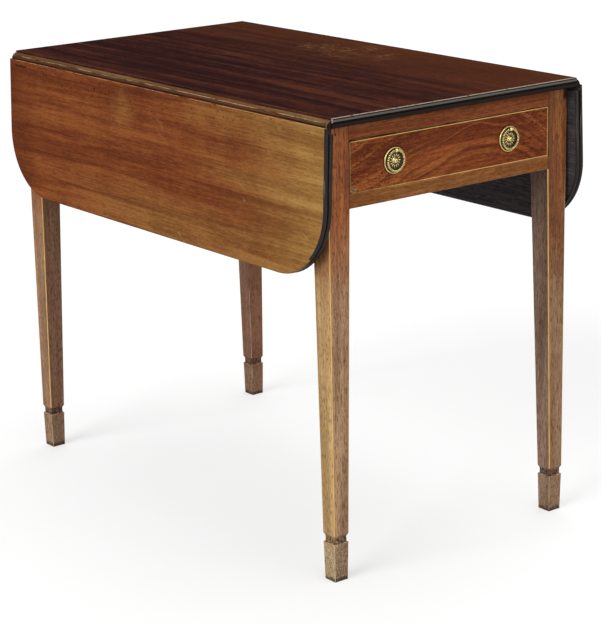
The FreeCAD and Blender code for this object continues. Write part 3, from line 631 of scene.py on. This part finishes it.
def lathed(name, outline, steps):
    """A closed mesh turned round the Z axis from an outline of radii and heights."""
    shape = bmesh.new()
    rings = []
    for radius, height in outline:
        turns = [math.tau * step / steps for step in range(steps)] if radius > 0 else [0.0]
        rings.append([
            shape.verts.new((radius * math.cos(turn), radius * math.sin(turn), height))
            for turn in turns])
    loop = rings[1:] + rings[:1]
    for ring, after in zip(rings, loop):
        if len(ring) == 1 and len(after) == 1:
            continue
        for step in range(steps):
            following = (step + 1) % steps
            corners = [ring[step % len(ring)], after[step % len(after)],
                       after[following % len(after)], ring[following % len(ring)]]
            shape.faces.new(list(dict.fromkeys(corners)))
    bmesh.ops.recalc_face_normals(shape, faces=shape.faces)
    mesh = bpy.data.meshes.new(name)
    shape.to_mesh(mesh)
    shape.free()
    return mesh


def geometry_tree(name, inputs):
    """A geometry tree that takes a mesh and named sizes, and its inputs by their names."""
    tree = bpy.data.node_groups.new(name, "GeometryNodeTree")
    tree.interface.new_socket("Mesh", in_out="OUTPUT", socket_type="NodeSocketGeometry")
    tree.interface.new_socket("Mesh", in_out="INPUT", socket_type="NodeSocketGeometry")
    for label, kind in inputs:
        tree.interface.new_socket(label, in_out="INPUT", socket_type="NodeSocket" + kind)
    entry = tree.nodes.new("NodeGroupInput")
    return tree, {socket.name: Shade(tree, socket) for socket in entry.outputs if socket.name}


def closed_off(tree, mesh, finish):
    """Ends a tree: instances made real, shaded smooth, with their finish set."""
    real = mesh.node("GeometryNodeRealizeInstances", {}, {0: mesh})
    smooth = real.node("GeometryNodeSetShadeSmooth", {}, {0: real})
    surfaced = smooth.node("GeometryNodeSetMaterial", {}, {0: smooth, "Material": finish})
    ending = tree.nodes.new("NodeGroupOutput")
    tree.links.new(surfaced.socket, ending.inputs[0])


def built(name, tree, mesh, sizes):
    """The plain mesh that a tree makes of a mesh and its named sizes."""
    carrier = bpy.data.objects.new(name, mesh)
    bpy.context.scene.collection.objects.link(carrier)
    modifier = carrier.modifiers.new("build", "NODES")
    modifier.node_group = tree
    for socket in tree.interface.items_tree:
        if socket.in_out == "INPUT" and socket.name in sizes:
            modifier[socket.identifier] = sizes[socket.name]
    evened(carrier)
    made = carrier.data
    bpy.data.objects.remove(carrier)
    return made


# The tree sets rounded studs round a circle, each turned to face outwards, and can leave a gap at
# the top of the circle.
studs, entry = geometry_tree("studs_round", [
    ("Count", "Int"), ("Circle", "Float"), ("Lift", "Float"), ("Stud", "Vector"), ("Gap", "Float")])
circle = entry["Count"].node("GeometryNodeMeshCircle", {}, {
    "Vertices": entry["Count"], "Radius": entry["Circle"]})
rise = entry["Lift"].node("ShaderNodeCombineXYZ", {}, {2: entry["Lift"]})
raised = circle.node("GeometryNodeTransform", {}, {"Geometry": circle, "Translation": rise})
index = circle.node("GeometryNodeInputIndex", {}, {})
facing = rise.node("ShaderNodeCombineXYZ", {}, {2: index * math.tau / entry["Count"]})
spot = part(circle.node("GeometryNodeInputPosition", {}, {}), 1)
limit = entry["Circle"] * entry["Gap"].math("COSINE", entry["Gap"])
bead = circle.node("GeometryNodeMeshUVSphere", {}, {"Segments": 12, "Rings": 8, "Radius": 1.0})
placed = raised.node("GeometryNodeInstanceOnPoints", {}, {
    "Points": raised, "Instance": bead, "Selection": spot < limit, "Rotation": facing,
    "Scale": entry["Stud"]})
together = placed.node("GeometryNodeJoinGeometry", {}, {0: placed})
studs.links.new(entry["Mesh"].socket, together.socket.node.inputs[0])
closed_off(studs, together, brass)

PLATE_OUTLINE_MM = [
    (0.0, 6.0), (1.5, 5.7), (2.6, 5.0), (3.3, 3.9), (3.7, 2.7), (4.6, 2.0), (6.0, 1.6), (10.4, 1.7),
    (12.2, 2.2), (13.0, 2.1), (13.8, 1.4), (15.0, 1.0), (16.8, 1.0), (17.5, 1.5), (18.0, 2.15),
    (18.7, 2.4), (19.4, 2.15), (19.85, 1.4), (20.0, 0.5), (20.0, 0.0), (0.0, 0.0)]


def handle_place(side, end):
    """From the handle's own frame, its face up, to one end of the table."""
    turn = Matrix.Rotation(math.radians(90), 4, "X")
    if end > 0:
        turn = Matrix.Rotation(math.pi, 4, "Z") @ turn
    return Matrix.Translation((side * HANDLE_SPREAD, end * FRONT_REACH, HANDLE_HEIGHT)) @ turn


def gathered(name, meshes):
    """One piece made of several meshes."""
    shape = bmesh.new()
    for mesh in meshes:
        shape.from_mesh(mesh)
    whole = bpy.data.meshes.new(name)
    shape.to_mesh(whole)
    shape.free()
    for material in meshes[0].materials:
        whole.materials.append(material)
    piece = bpy.data.objects.new(name, whole)
    bpy.context.scene.collection.objects.link(piece)
    return piece


outline = [(radius / 1000, height / 1000) for radius, height in PLATE_OUTLINE_MM]
plate = lathed("plate", outline, steps=72)
plate = built("plate", studs, plate, {
    "Count": 14, "Circle": 0.0082, "Lift": 0.0018, "Stud": (0.0034, 0.0015, 0.0016), "Gap": 0.0})
plate = built("plate", studs, plate, {
    "Count": 8, "Circle": 0.0026, "Lift": 0.0046, "Stud": (0.0011, 0.0009, 0.0009), "Gap": 0.0})
WIRE_STEPS = 14
turns = [math.tau * step / WIRE_STEPS for step in range(WIRE_STEPS)]
wire = [(RING_RADIUS + RING_WIRE * math.cos(turn), RING_STAND + RING_WIRE * math.sin(turn))
        for turn in turns]
bail = built("bail", studs, lathed("bail", wire, steps=88), {
    "Count": 40, "Circle": RING_RADIUS, "Lift": RING_STAND,
    "Stud": (0.0020, 0.0012, 0.0016), "Gap": 0.30})
for end, word, plates, body in (
        (-1, "front", "drawer_handle_plates", "drawer"),
        (1, "back", "back_handle_plates", "frame")):
    copies = []
    for side, hand in ((1, "right"), (-1, "left")):
        copies.append(plate.copy())
        copies[-1].transform(handle_place(side, end))
        turned = bail.copy()
        turned.transform(handle_place(side, end))
        ring = f"handle_ring_{word}_{hand}"
        fitted(gathered(ring + "_beaded", [turned]), ring, "brass", ring)
    fitted(gathered(plates + "_stamped", copies), body, "brass", plates)
dressed(brass, *(
    where + kind for where in ("drawer_handle_", "back_handle_") for kind in ("posts", "nuts")))


# Fixed top: one wide mahogany board, dark with old polish. Each long side is worked to a
# quarter-round for the rule joint, each end to a double reed that is nearly black.
TOP_HEIGHT = 0.712
TOP_END = 0.4315
REED_LINE = 0.7045
ROLL_FOOT = 0.6990
ROLL_CREST = 0.7095
ROLL_START = 0.2411
BLEACHED = (0.150, 0.030)


def aged_top(place, color, tone):
    """A bleached patch, a paler red towards the right front that is partly the board's tone and
    partly a painted sheen, the end arrises worn pale, and bands of painted highlight and shade
    along the quarter-rounds, streaked with wear and wax."""
    across, along, height = part(place, 0), part(place, 1), part(place, 2)
    clouds = noise(stretched(place, 1, 4), 14, 3)
    # Paler red towards the right front: partly the board's own tone, partly a painted sheen.
    tone_and_sheen = spread(across + clouds * 0.22 - along * 0.12, 0.06, 0.40)
    color = blend(tone_and_sheen * 0.62, color, (0.112, 0.035, 0.0141, 1))
    aside, beside = across - BLEACHED[0], along - BLEACHED[1]
    reach = aside * aside * 90 + beside * beside * 26
    reach = reach + (noise(place, 22, 3, 0.6) - 0.5) * 1.6
    patch = spread(noise(stretched(place, 1, 3), 170, 4, 0.75), 0.47, 0.58)
    patch = patch * spread(reach, 0.45, -0.25)
    color = blend(patch * 0.8, color, (0.215, 0.110, 0.040, 1))
    roll = (height - ROLL_FOOT) / (ROLL_CREST - ROLL_FOOT)
    wander = noise(stretched(place, 1, 12), 90, 3, 0.6) - 0.5
    roll = roll + wander * 0.22
    # Bands painted along the round's height: a painted shadow at its foot against the leaf, a tan
    # band, a dark band, a pale painted highlight above it, and a dark quirk at the crest.
    rubbed = toned(roll, [
        (0.0, (0.020, 0.008, 0.004, 1)), (0.20, (0.036, 0.013, 0.006, 1)),
        (0.30, (0.120, 0.055, 0.022, 1)), (0.46, (0.140, 0.068, 0.028, 1)),
        (0.56, (0.045, 0.020, 0.009, 1)), (0.66, (0.20, 0.112, 0.045, 1)),
        (0.93, (0.27, 0.155, 0.058, 1)), (1.0, (0.022, 0.009, 0.005, 1))])
    streaky = spread(noise(stretched(place, 1, 40), 700, 2), 0.40, 0.62)
    rubbed = blend(streaky * 0.55, rubbed, (0.050, 0.020, 0.010, 1))
    waxed = spread(noise(stretched(place, 1, 6, 1.9), 40, 2), 0.44, 0.58)
    rubbed = blend(waxed * 0.6, rubbed, (0.110, 0.038, 0.019, 1))
    # A pale broken band in the middle of the round: a painted highlight.
    line = spread(abs(roll - 0.60), 0.070, 0.020)
    chipped = spread(noise(stretched(place, 1, 9, 2.7), 210, 4, 0.75), 0.43, 0.55)
    rubbed = blend(line * chipped * 0.65, rubbed, (0.55, 0.42, 0.25, 1))
    rolled = spread(abs(across), ROLL_START, ROLL_START + 0.0003)
    color = blend(rolled * (0.75 + spread(along, 0.3, -0.4) * 0.25), color, rubbed)
    rim = spread(abs(along), TOP_END - 0.0009, TOP_END - 0.0001)
    rim = rim * spread(noise(place, 90, 3, 0.6), 0.30, 0.46)
    return blend(rim * 0.9, color, (0.44, 0.35, 0.27, 1))


top_wood = mahogany(
    "top_mahogany", along=1, gloss=0.40, specular=0.0, shift=3.7, open_grain=0.35, tint=aged_top,
    tones=[(0.023, 0.0095, 0.0096, 1), (0.049, 0.0168, 0.0137, 1), (0.098, 0.0300, 0.0160, 1)],
    wear=(0.17, 0.095, 0.045, 1))


def end_stain(middle, facing):
    """Black on the reeds at the ends, with a painted grey reflection on the upper one, none on its
    worn arris.
    """
    if abs(middle.y) < TOP_END - NEAR or facing.z > 0.8 and middle.z > REED_LINE:
        return 0.0
    return 0.5 if middle.z > REED_LINE and -0.5 < facing.z < 0.40 else 1.2


worked("top_board", "frame", "mahogany_top", top_wood, 0.0008,
       lambda middle, length: length > 0.4 and middle.z > TOP_HEIGHT - 0.0005,
       edge=end_stain,
       under=lambda middle, facing: facing.z < -0.5)


# Leaves: solid mahogany flaps, hollowed along the top to ride over the quarter-round and reeded
# round their free edges. Gold towards the drawer end: faded by light, with a painted sheen.
LEAF_AXIS = (0.241, 0.699)
LEAF_SPLAY = math.radians(2.4)
LEAF_REACH = 0.229
LEAF_CORNER = 0.110
TOP_HALF = 0.435
REED = 0.0035
LEAF_STAIN = 1.07
LEAF_OUTER = 0.011
LEAF_FRONT = -0.400
CLOUD = (0.085, 0.664)
CLOUD_SIZE = 0.030
SPLIT_HEIGHT = 0.6895


def leaf_spot(middle):
    """How far down a hanging leaf a point lies, and how far out from its hinge line."""
    out, down = abs(middle.x) - LEAF_AXIS[0], LEAF_AXIS[1] - middle.z
    return (out * math.sin(LEAF_SPLAY) + down * math.cos(LEAF_SPLAY),
            out * math.cos(LEAF_SPLAY) - down * math.sin(LEAF_SPLAY))


def leaf_rim(middle, facing):
    """The black stain on the reeds of a hanging leaf's free edges, worn off where they turn to
    the outer face, except at the drawer end."""
    down, out = leaf_spot(middle)
    if out > LEAF_OUTER and facing.x * math.copysign(1, middle.x) > 0.55 and middle.y > LEAF_FRONT:
        return 0.0
    past = down - (LEAF_REACH - LEAF_CORNER), abs(middle.y) - (TOP_HALF - LEAF_CORNER)
    if past[0] > 0 and past[1] > 0:
        return (math.hypot(*past) > LEAF_CORNER - REED - NEAR) * LEAF_STAIN
    return (max(past) > LEAF_CORNER - REED - NEAR) * LEAF_STAIN


def leaf_underside(middle, facing):
    """The inner face and the hollow of the joint, both darkened: unpolished wood with painted
    shade.
    """
    inward = facing.x * math.copysign(1, middle.x) < -0.25
    return inward or facing.z > 0.5 and leaf_spot(middle)[0] > 0.002


def faded(place, color, tone):
    """Red at the back, gold at the upper front from fading and a painted sheen, with a pale cloud,
    specks of wax, light scratches and a split at the back corner."""
    along, height = part(place, 1), part(place, 2)
    drift = noise(place, 4.5, 3, 0.55) - 0.5
    streaks = noise(stretched(place, 1, 14), 30, 3) - 0.5
    # Gold towards the upper front: faded by light, with a painted sheen.
    sun = spread(height * 0.3 - along + drift * 0.35 + streaks * 0.3, 0.31, 0.68)
    gold = toned(tone, [
        (0.0, (0.250, 0.118, 0.033, 1)), (0.5, (0.355, 0.188, 0.052, 1)),
        (1.0, (0.46, 0.268, 0.082, 1))])
    color = blend(sun * 0.9, color, gold)
    low = spread(height + drift * 0.08, 0.560, 0.490) * spread(along + drift * 0.3, 0.28, -0.02)
    color = blend(low * 0.36, color, gold)
    aside, above = (along - CLOUD[0]) / CLOUD_SIZE, (height - CLOUD[1]) / CLOUD_SIZE
    ragged = (noise(place, 40, 2) - 0.5) * 3.0
    cloud = spread(aside * aside + above * above + ragged + streaks * 3.0, 2.4, -1.6)
    color = blend(cloud * 0.38, color, gold)
    darker = spread(along + drift * 0.1, 0.34, 0.43)
    color = blend(darker * 0.5, color, (0.105, 0.027, 0.011, 1))
    wax = spots(place, 90, 0.0019, 0.55) + spots(place, 55, 0.0026, 0.16)
    crowd = spread(height + along * 0.15 + drift * 0.3, 0.52, 0.70)
    color = blend(wax * (0.3 + crowd * 0.6), color, (0.026, 0.010, 0.006, 1))
    slant = place.node("ShaderNodeMapping", {}, {"Vector": place, "Rotation": (-0.6, 0.0, 0.0)})
    scores = abs(noise(stretched(slant, 1, 14), 70, 2) - 0.5)
    scratch = spread(scores, 0.005, 0.001) * spread(noise(place, 16, 2), 0.60, 0.67)
    scratch = scratch * spread(along, 0.15, -0.15)
    color = blend(scratch * 0.5, color, (0.48, 0.31, 0.14, 1))
    jagged = (noise(place, 120, 2) - 0.5) * 0.006
    split = abs(height - SPLIT_HEIGHT + drift * 0.02 + jagged)
    crack = spread(split, 0.0020, 0.0008)
    crack = crack * spread(along, 0.375, 0.382) * spread(along, 0.420, 0.412)
    return blend(crack * 0.85, color, (0.03, 0.012, 0.006, 1))


leaf_wood = mahogany(
    "leaf_mahogany", along=1, gloss=0.36, specular=0.0, shift=9.4, open_grain=0.24, tint=faded,
    tones=[(0.125, 0.032, 0.0125, 1), (0.207, 0.058, 0.0200, 1), (0.290, 0.096, 0.0275, 1)],
    wear=(0.50, 0.37, 0.21, 1))
for side in ("right", "left"):
    worked("leaf_" + side, "leaf_" + side, "mahogany_leaf", leaf_wood, 0.0006,
           lambda middle, length: length > 0.4 and leaf_spot(middle)[1] > LEAF_OUTER,
           edge=leaf_rim, under=leaf_underside)


# Hinges: iron back-flap hinges let in flush below the rule joints, three to a leaf, with slotted
# screws. More screws run up through the kickers to hold the top down.
dressed(iron, *(kind + side for kind in (
    "hinge_top_plates_", "hinge_leaf_plates_", "hinge_pins_") for side in ("right", "left")))

# The tree makes one slotted countersunk screw and sets it at every point, turned at random.
screws, entry = geometry_tree("slotted_screws", [
    ("Head", "Float"), ("Shank", "Float"), ("Head height", "Float"), ("Length", "Float"),
    ("Slot", "Vector")])
head = entry["Head"].node("GeometryNodeMeshCone", {}, {
    "Vertices": 24, "Radius Top": entry["Shank"], "Radius Bottom": entry["Head"],
    "Depth": entry["Head height"]})
slot_bar = head.node("GeometryNodeMeshCube", {}, {"Size": entry["Slot"]})
slotted = head.node("GeometryNodeMeshBoolean", {"operation": "DIFFERENCE"}, {
    "Mesh 1": head, "Mesh 2": slot_bar})
shank = head.node("GeometryNodeMeshCylinder", {}, {
    "Vertices": 16, "Radius": entry["Shank"], "Depth": entry["Length"] - entry["Head height"]})
shank_middle = (entry["Length"] + entry["Head height"]) * 0.5
shank_rise = head.node("ShaderNodeCombineXYZ", {}, {2: shank_middle})
shank = shank.node("GeometryNodeTransform", {}, {"Geometry": shank, "Translation": shank_rise})
screw = slotted.node("GeometryNodeJoinGeometry", {}, {0: slotted})
screws.links.new(shank.socket, screw.socket.node.inputs[0])
chance = screw.node("FunctionNodeRandomValue", {"data_type": "FLOAT"}, {
    2: 0.0, 3: math.pi, "Seed": 5}, 1)
turn = screw.node("ShaderNodeCombineXYZ", {}, {2: chance})
driven = screw.node("GeometryNodeInstanceOnPoints", {}, {
    "Points": entry["Mesh"], "Instance": screw, "Rotation": turn})
closed_off(screws, driven, iron)


def screwed(name, body, points, length, place, *stood_for):
    """Slotted screws driven upwards at points, in the frame of the board that they hold."""
    dots = bpy.data.meshes.new(name)
    dots.from_pydata(points, [], [])
    mesh = built(name, screws, dots, {
        "Head": 0.0032, "Shank": 0.0017, "Head height": 0.0018, "Length": length,
        "Slot": (0.0072, 0.0009, 0.0016)})
    mesh.transform(place)
    fitted(gathered(name, [mesh]), body, "iron", *stood_for)


HINGE_PLACES = (-0.290, 0.0, 0.290)
HINGE_SCREWS = (-0.0114, 0.0114)
HINGE_SCREW_LENGTH = 0.009
TOP_SCREW_OUT = 0.223
LEAF_SCREW = (0.0326, -0.002)
KICKER_SCREW_OUT = 0.187
KICKER_SCREWS = (-0.24, 0.0, 0.24)
KICKER_SCREW_LENGTH = 0.0345
along_hinges = [place + screw_place for place in HINGE_PLACES for screw_place in HINGE_SCREWS]
top_points = [
    (side * TOP_SCREW_OUT, along, UNDERSIDE) for side in (-1, 1) for along in along_hinges]
screwed("hinge_top_screws_slotted", "frame", top_points, HINGE_SCREW_LENGTH, Matrix(),
        "hinge_top_screws")
leaf_points = [(LEAF_SCREW[0], along, LEAF_SCREW[1]) for along in along_hinges]
for side, hand in ((1, "right"), (-1, "left")):
    swing = Matrix.Rotation(math.radians(90) - LEAF_SPLAY, 4, "Y")
    place = Matrix.Translation((LEAF_AXIS[0], 0, LEAF_AXIS[1])) @ swing
    if side < 0:
        place = Matrix.Rotation(math.pi, 4, "Z") @ place
    screwed("hinge_leaf_screws_slotted_" + hand, "leaf_" + hand, leaf_points, HINGE_SCREW_LENGTH,
            place, "hinge_leaf_screws_" + hand)
kicker_points = [
    (side * KICKER_SCREW_OUT, along, OPENING_TOP) for side in (-1, 1) for along in KICKER_SCREWS]
screwed("top_fixing_screws_slotted", "frame", kicker_points, KICKER_SCREW_LENGTH, Matrix(),
        "top_fixing_screws")


# Studio: a pale floor that runs to a white backdrop, a broad soft key from the left, soft lamps in
# front, overhead and behind, and a camera on a stand at chest height.
def seen_share(tree):
    """1 for rays that show the background itself: to the camera, or off metal and glass."""
    path = tree.nodes.new("ShaderNodeLightPath")
    camera_ray, glossy, clear = (Shade(tree, path.outputs[name]) for name in (
        "Is Camera Ray", "Is Glossy Ray", "Is Transmission Ray"))
    return camera_ray.math("MINIMUM", camera_ray + glossy + clear, 1.0)


FLOOR_REACH = 30.0
FLOOR_TONE = (0.48, 0.48, 0.48, 1)
FLOOR_GLOW = 0.53
AMBIENT = 0.35
WHITE = (1, 1, 1, 1)
floor_mesh = bpy.data.meshes.new("floor")
floor_corners = [
    (x * FLOOR_REACH, y * FLOOR_REACH, 0) for x, y in ((-1, -1), (1, -1), (1, 1), (-1, 1))]
floor_mesh.from_pydata(floor_corners, [], [(0, 1, 2, 3)])
floor = bpy.data.objects.new("floor", floor_mesh)
bpy.context.scene.collection.objects.link(floor)
floor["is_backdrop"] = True
floor_paint = bpy.data.materials.new("studio_floor")
floor_paint.use_nodes = True
tree = floor_paint.node_tree
tree.nodes.clear()
matt = Shade(tree, tree.nodes.new("ShaderNodeBsdfDiffuse").outputs[0])
matt.socket.node.inputs["Color"].default_value = FLOOR_TONE
shown = seen_share(tree)
glow = matt.node("ShaderNodeEmission", {}, {"Color": WHITE, "Strength": shown * FLOOR_GLOW})
lit = matt.node("ShaderNodeAddShader", {}, {0: matt, 1: glow})
ending = tree.nodes.new("ShaderNodeOutputMaterial")
tree.links.new(lit.socket, ending.inputs["Surface"])
floor_mesh.materials.append(floor_paint)

world = bpy.data.worlds.new("studio")
world.use_nodes = True
bpy.context.scene.world = world
tree = world.node_tree
backdrop = tree.nodes["Background"]
backdrop.inputs["Color"].default_value = WHITE
shown = seen_share(tree)
tree.links.new((shown * (1 - AMBIENT) + AMBIENT).socket, backdrop.inputs["Strength"])


def sun(name, towards, strength, softness):
    """A far soft lamp that shines along a direction."""
    lamp = bpy.data.lights.new(name, "SUN")
    lamp.energy = strength
    lamp.angle = math.radians(softness)
    holder = bpy.data.objects.new(name, lamp)
    holder.rotation_mode = "QUATERNION"
    holder.rotation_quaternion = Vector(towards).to_track_quat("-Z", "Y")
    bpy.context.scene.collection.objects.link(holder)


sun("key", (0.85, 0.08, -0.52), 1.94, 36)
sun("front", (0.00, 0.95, -0.32), 1.15, 60)
sun("overhead", (-0.28, -0.05, -1.00), 0.8, 45)
sun("back_fill", (-0.60, -0.65, -0.45), 0.5, 60)

FOCAL_PIXELS = 2115.54
LONG_SIDE_PIXELS = 625
SENSOR = 36.0
CAMERA_PLACE = (-2.07054, -2.72391, 1.27140)
azimuth, elevation, roll = math.radians(-37.63), math.radians(16.02), math.radians(-1.23)
lens = bpy.data.cameras.new("camera")
lens.sensor_width = SENSOR
lens.lens = FOCAL_PIXELS * SENSOR / LONG_SIDE_PIXELS
lens.clip_end = 100
camera = bpy.data.objects.new("camera", lens)
bpy.context.scene.collection.objects.link(camera)
back = Vector((
    math.sin(azimuth) * math.cos(elevation), -math.cos(azimuth) * math.cos(elevation),
    math.sin(elevation)))
level = (-back).cross(Vector((0, 0, 1))).normalized()
upright = level.cross(-back)
right = level * math.cos(roll) + upright * math.sin(roll)
above = upright * math.cos(roll) - level * math.sin(roll)
aim = Matrix((right, above, back)).transposed().to_4x4()
camera.matrix_world = Matrix.Translation(CAMERA_PLACE) @ aim
bpy.context.scene.camera = camera
bpy.context.scene.view_settings.view_transform = "Standard"

low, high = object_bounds()
